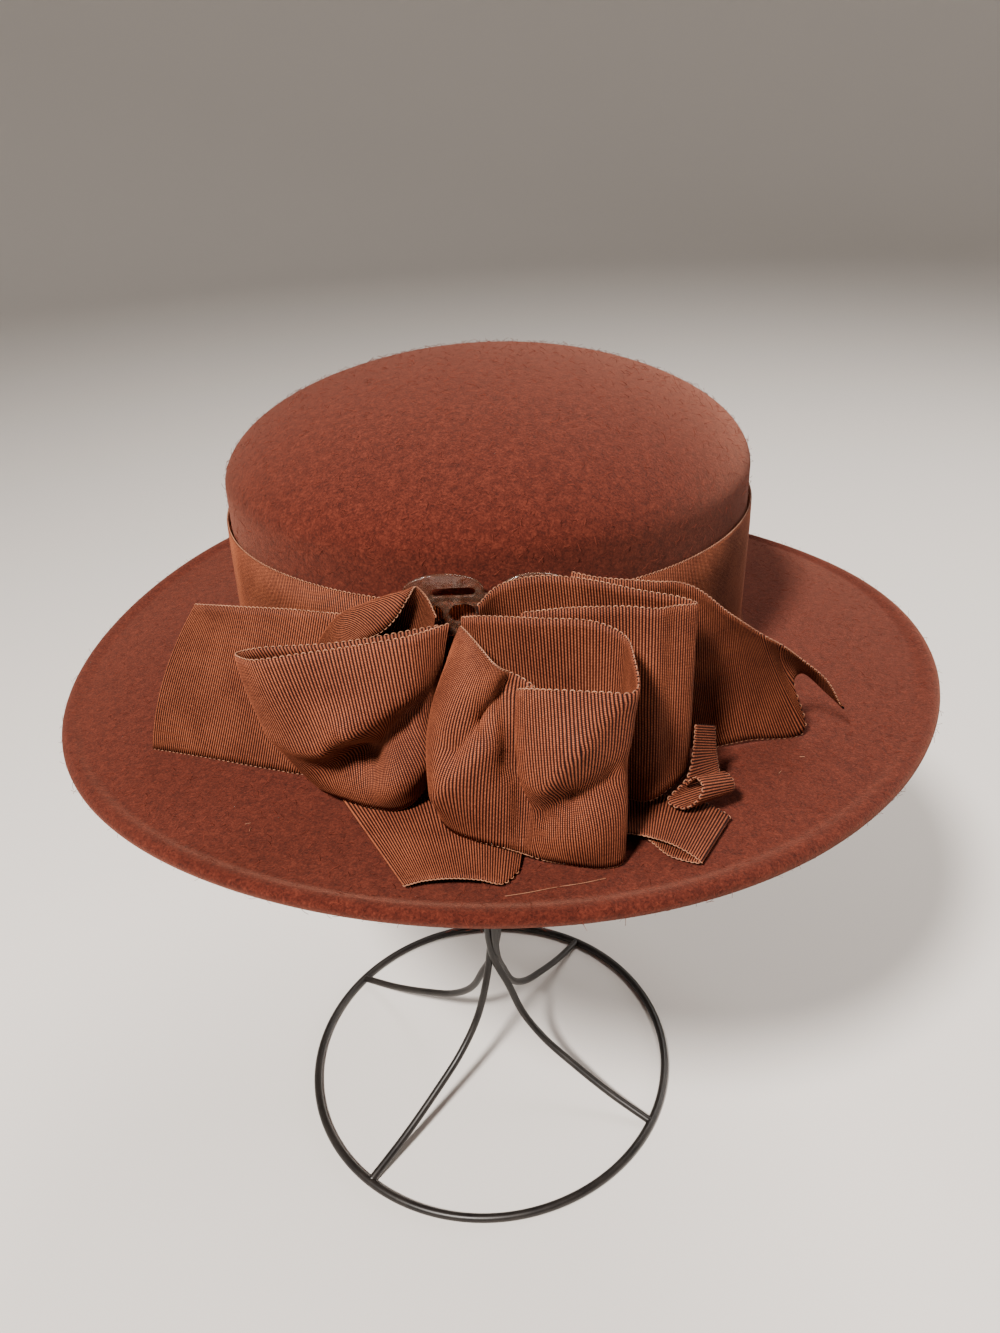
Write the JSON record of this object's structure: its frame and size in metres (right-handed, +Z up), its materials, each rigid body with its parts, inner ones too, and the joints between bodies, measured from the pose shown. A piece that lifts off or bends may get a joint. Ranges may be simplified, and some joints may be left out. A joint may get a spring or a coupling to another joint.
{
  "type": "felt boater hat on a wire stand",
  "caption": "Felt hat with a low round crown, wide brim, grosgrain band and bow, resting on a wire stand with a round base.",
  "frame": {"origin": "on the surface the stand rests on, below the middle of the hat's brim", "axes": "+Z up, -Y towards the front of the hat, where the bow is, +X to the hat's left side, which is the viewer's right"},
  "size_m": [0.3025, 0.3249, 0.331],
  "materials": {
    "felt": "rust-brown wool felt with a short nap",
    "grosgrain": "ribbed brown grosgrain with looped edges",
    "clear_plastic": "clear, glossy",
    "black_wire": "satin black"
  },
  "bodies": {
    "root": {"felt_body": "felt", "ribbon_band": "grosgrain", "tail_left": "grosgrain", "tail_right": "grosgrain", "loop_left_front": "grosgrain", "loop_left_top": "grosgrain", "loop_centre": "grosgrain", "loop_right": "grosgrain", "loop_lower_left": "grosgrain", "loop_lower_right": "grosgrain", "curl_right": "grosgrain", "clear_ornament": "clear_plastic", "wire_stand": "black_wire"}
  },
  "joints": []
}
